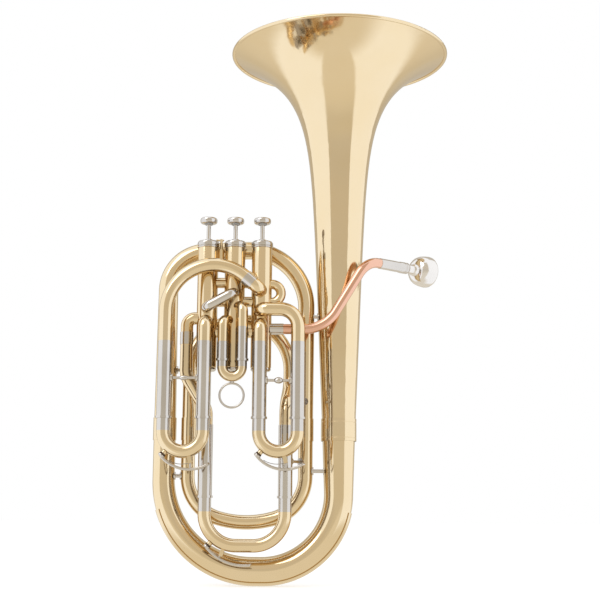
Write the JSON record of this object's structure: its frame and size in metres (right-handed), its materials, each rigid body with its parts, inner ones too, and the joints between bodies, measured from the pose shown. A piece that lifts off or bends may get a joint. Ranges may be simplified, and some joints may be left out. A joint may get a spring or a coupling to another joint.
{
  "type": "baritone horn",
  "caption": "Upright valved brass baritone horn with flared bell, compensating piston block, telescoping tuning slides, water keys and removable mouthpiece.",
  "frame": {"origin": "centre of the bounding box, on the lowest point of the bottom bow's guard", "axes": "+Z out of the bell, +Y away from the player, +X towards the bell and mouthpiece side"},
  "size_m": [0.3222, 0.244, 0.5908],
  "materials": {
    "lacquered_brass": "polished, clear lacquer",
    "nickel_silver": "polished nickel silver",
    "rose_brass": "polished red brass, clear lacquer",
    "silver_plate": "polished silver plate",
    "piston_nickel": "lapped nickel plate",
    "spring_steel": "drawn wire",
    "felt": "pressed wool felt"
  },
  "bodies": {
    "horn": {"bell": "lacquered_brass", "bell_ferrule": "lacquered_brass", "bottom_bow": "lacquered_brass", "bow_guard": "nickel_silver", "top_bow": "lacquered_brass", "inner_bow": "lacquered_brass", "back_loop": "lacquered_brass", "branch_ferrules": "lacquered_brass", "valve_knuckles": "nickel_silver", "third_slide_sleeves": "nickel_silver", "first_slide_sleeves": "nickel_silver", "second_slide_sleeves": "nickel_silver", "main_slide_sleeves": "nickel_silver", "slide_elbows": "lacquered_brass", "third_return_tube": "lacquered_brass", "first_return_tube": "lacquered_brass", "compensating_tubes": "nickel_silver", "exit_tube": "lacquered_brass", "leadpipe": "rose_brass", "mouthpiece_receiver": "nickel_silver", "small_ferrules": "nickel_silver", "braces": "nickel_silver", "valve_casing_1": "lacquered_brass", "top_cap_1": "nickel_silver", "bottom_cap_1": "nickel_silver", "valve_spring_1": "spring_steel", "valve_casing_2": "lacquered_brass", "top_cap_2": "nickel_silver", "bottom_cap_2": "nickel_silver", "valve_spring_2": "spring_steel", "valve_casing_3": "lacquered_brass", "top_cap_3": "nickel_silver", "bottom_cap_3": "nickel_silver", "valve_spring_3": "spring_steel"},
    "piston_1_assembly": {"piston_1": "piston_nickel", "valve_stem_1": "nickel_silver", "finger_button_1": "nickel_silver", "button_felt_1": "felt"},
    "piston_2_assembly": {"piston_2": "piston_nickel", "valve_stem_2": "nickel_silver", "finger_button_2": "nickel_silver", "button_felt_2": "felt"},
    "piston_3_assembly": {"piston_3": "piston_nickel", "valve_stem_3": "nickel_silver", "finger_button_3": "nickel_silver", "button_felt_3": "felt"},
    "main_slide": {"main_slide_legs": "nickel_silver", "main_slide_bow": "lacquered_brass"},
    "first_slide": {"first_slide_legs": "nickel_silver", "first_slide_bow": "lacquered_brass"},
    "second_slide": {"second_slide_legs": "nickel_silver", "second_slide_bow": "lacquered_brass", "pull_ring": "nickel_silver"},
    "third_slide": {"third_slide_legs": "nickel_silver", "third_slide_bow": "lacquered_brass"},
    "main_key": {"main_water_key": "nickel_silver"},
    "first_key": {"first_water_key": "nickel_silver"},
    "third_key": {"third_water_key": "nickel_silver"},
    "mouthpiece": {"mouthpiece": "silver_plate"}
  },
  "joints": [
    {"name": "valve_1_press", "type": "slide", "parent": "horn", "child": "piston_1_assembly", "axis": [0, 0, -1], "range_m": [0, 0.015], "stiffness_N_per_m": 220, "springref_m": -0.012, "deforming": ["valve_spring_1"]},
    {"name": "valve_2_press", "type": "slide", "parent": "horn", "child": "piston_2_assembly", "axis": [0, 0, -1], "range_m": [0, 0.015], "stiffness_N_per_m": 220, "springref_m": -0.012, "deforming": ["valve_spring_2"]},
    {"name": "valve_3_press", "type": "slide", "parent": "horn", "child": "piston_3_assembly", "axis": [0, 0, -1], "range_m": [0, 0.015], "stiffness_N_per_m": 220, "springref_m": -0.012, "deforming": ["valve_spring_3"]},
    {"name": "main_slide_pull", "type": "slide", "parent": "horn", "child": "main_slide", "axis": [0, 0, -1], "range_m": [0, 0.05]},
    {"name": "first_slide_pull", "type": "slide", "parent": "horn", "child": "first_slide", "axis": [0, 0, -1], "range_m": [0, 0.05]},
    {"name": "second_slide_pull", "type": "slide", "parent": "horn", "child": "second_slide", "axis": [0, 0, -1], "range_m": [0, 0.01]},
    {"name": "third_slide_pull", "type": "slide", "parent": "horn", "child": "third_slide", "axis": [0, 0, -1], "range_m": [0, 0.05]},
    {"name": "main_key_lift", "type": "hinge", "parent": "main_slide", "child": "main_key", "pos_m": [-0.08389, -0.0235, 0.03361], "axis": [0, -1, 0], "range_deg": [0, 10], "stiffness_Nm_per_rad": 0.05, "springref_deg": -17.19},
    {"name": "first_key_lift", "type": "hinge", "parent": "first_slide", "child": "first_key", "pos_m": [-0.01752, -0.0498, 0.12886], "axis": [0, -1, 0], "range_deg": [0, 10], "stiffness_Nm_per_rad": 0.05, "springref_deg": -17.19},
    {"name": "third_key_lift", "type": "hinge", "parent": "third_slide", "child": "third_key", "pos_m": [-0.11631, -0.0498, 0.12824], "axis": [0, -1, 0], "range_deg": [0, 10], "stiffness_Nm_per_rad": 0.05, "springref_deg": -17.19},
    {"name": "mouthpiece_pull", "type": "slide", "parent": "horn", "child": "mouthpiece", "axis": [0.766, 0.6428, 0], "range_m": [0, 0.03]}
  ]
}
